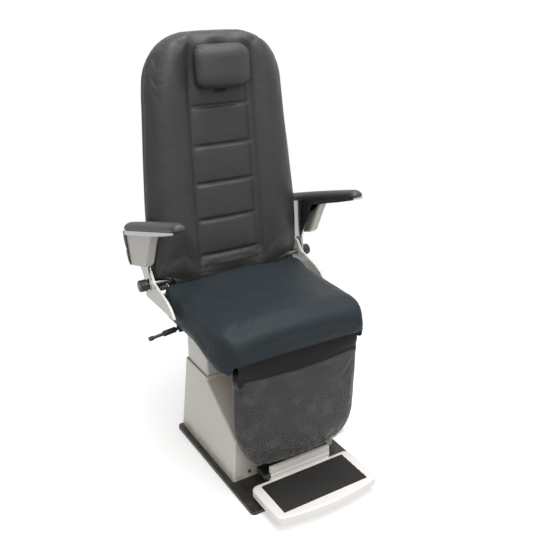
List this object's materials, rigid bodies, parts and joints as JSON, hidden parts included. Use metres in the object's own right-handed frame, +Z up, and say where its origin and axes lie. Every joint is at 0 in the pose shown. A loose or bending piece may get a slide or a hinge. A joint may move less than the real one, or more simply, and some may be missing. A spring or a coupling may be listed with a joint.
{
  "type": "examination chair",
  "caption": "Padded patient examination chair: square lifting pedestal, reclining channelled back with a sliding head cushion, swing-up arms, rising leg rest and folding footrest.",
  "frame": {"origin": "centre of the base plate's underside, on the floor", "axes": "+Z up, -Y the way the patient faces, +X the patient's left"},
  "size_m": [0.6389, 0.7457, 1.2879],
  "materials": {
    "base_black": "satin black enamel",
    "cream_metal": "semi-gloss warm white enamel",
    "cream_side": "semi-gloss light grey enamel",
    "cream_plastic": "moulded, semi-gloss",
    "plated": "zinc plated",
    "arm_chrome": "polished",
    "frame_black": "black powder coat",
    "column_steel": "ground steel",
    "glide": "natural nylon",
    "drive_cast": "cast",
    "drive_rod": "ground",
    "motor": "dark grey enamel",
    "control": "moulded",
    "socket_black": "moulded",
    "contact": "nickel-free brass",
    "back_vinyl": "dark grey upholstery vinyl over foam",
    "seat_vinyl": "dark grey upholstery vinyl over foam",
    "leg_vinyl": "dark grey upholstery vinyl over foam",
    "head_vinyl": "dark grey upholstery vinyl over foam",
    "board": "birch plywood",
    "shell_black": "vacuum formed",
    "pad_black": "moulded soft foam skin",
    "trim_black": "moulded",
    "lever_black": "black powder coat",
    "foot_white": "white painted casting",
    "tread": "ribbed"
  },
  "bodies": {
    "base": {"base_plate": "base_black", "lower_cover": "cream_metal", "cover_tabs": "frame_black", "cover_screws": "plated", "supply_socket": "socket_black", "socket_pins": "contact", "control_box": "control", "outer_column": "column_steel", "column_bolts": "plated", "upper_glides": "glide", "drive_gearbox": "drive_cast", "drive_motor": "motor", "drive_tube": "drive_cast", "drive_bracket": "frame_black", "drive_foot_pin": "plated"},
    "carriage": {"inner_column": "column_steel", "lower_glides": "glide", "drive_rod": "drive_rod", "drive_top_pin": "plated", "upper_cover": "cream_metal", "carrier_plate": "frame_black", "seat_frame": "frame_black", "back_axle": "plated", "seat_pan": "board", "seat_cushion": "seat_vinyl", "side_plate_left": "cream_side", "side_plate_right": "cream_side", "side_spacers": "plated", "arm_washers": "glide", "leg_pins": "plated", "lever_pin": "plated"},
    "backrest": {"back_cushion": "back_vinyl", "back_board": "board", "back_frame": "frame_black", "back_bushes": "glide", "back_shell": "shell_black", "head_rail": "column_steel"},
    "headrest": {"head_cushion": "head_vinyl", "head_slider": "column_steel"},
    "leg_rest": {"leg_frame": "frame_black", "leg_cushion": "leg_vinyl", "foot_hinge": "lever_black", "foot_pin": "plated"},
    "foot_tray": {"footrest": "foot_white", "tread_mat": "tread"},
    "arm_left": {"arm_frame_left": "arm_chrome", "arm_cover_left": "cream_plastic", "arm_trim_left": "trim_black", "arm_pad_left": "pad_black"},
    "arm_right": {"arm_frame_right": "arm_chrome", "arm_cover_right": "cream_plastic", "arm_trim_right": "trim_black", "arm_pad_right": "pad_black"},
    "knob_left": {"clamp_knob_left": "trim_black"},
    "knob_right": {"clamp_knob_right": "trim_black"},
    "lever": {"recline_lever": "lever_black", "lever_grip": "trim_black", "lever_tip": "trim_black"}
  },
  "joints": [
    {"name": "lift", "type": "slide", "parent": "base", "child": "carriage", "axis": [0, 0, 1], "range_m": [0, 0.2]},
    {"name": "back_recline", "type": "hinge", "parent": "carriage", "child": "backrest", "pos_m": [0, 0.238, 0.56], "axis": [-1, 0, 0], "range_deg": [0, 54]},
    {"name": "headrest_slide", "type": "slide", "parent": "backrest", "child": "headrest", "axis": [0, 0.1045, 0.9945], "range_m": [-0.025, 0.025]},
    {"name": "leg_raise", "type": "hinge", "parent": "carriage", "child": "leg_rest", "pos_m": [0, -0.16, 0.441], "axis": [-1, 0, 0], "range_deg": [0, 50]},
    {"name": "footrest_fold", "type": "hinge", "parent": "leg_rest", "child": "foot_tray", "pos_m": [0, -0.192, 0.062], "axis": [-1, 0, 0], "range_deg": [0, 60]},
    {"name": "arm_left_lift", "type": "hinge", "parent": "carriage", "child": "arm_left", "pos_m": [0.278, 0.238, 0.56], "axis": [-1, 0, 0], "range_deg": [0, 90]},
    {"name": "arm_right_lift", "type": "hinge", "parent": "carriage", "child": "arm_right", "pos_m": [-0.278, 0.238, 0.56], "axis": [-1, 0, 0], "range_deg": [0, 90]},
    {"name": "knob_left_turn", "type": "hinge", "parent": "carriage", "child": "knob_left", "pos_m": [0.292, 0.238, 0.56], "axis": [1, 0, 0], "range_deg": [0, 180]},
    {"name": "knob_right_turn", "type": "hinge", "parent": "carriage", "child": "knob_right", "pos_m": [-0.292, 0.238, 0.56], "axis": [-1, 0, 0], "range_deg": [0, 180]},
    {"name": "lever_pull", "type": "hinge", "parent": "carriage", "child": "lever", "pos_m": [-0.216, 0.15, 0.436], "axis": [0, 1, 0], "range_deg": [0, 15], "stiffness_Nm_per_rad": 1.5, "springref_deg": -11.46}
  ]
}
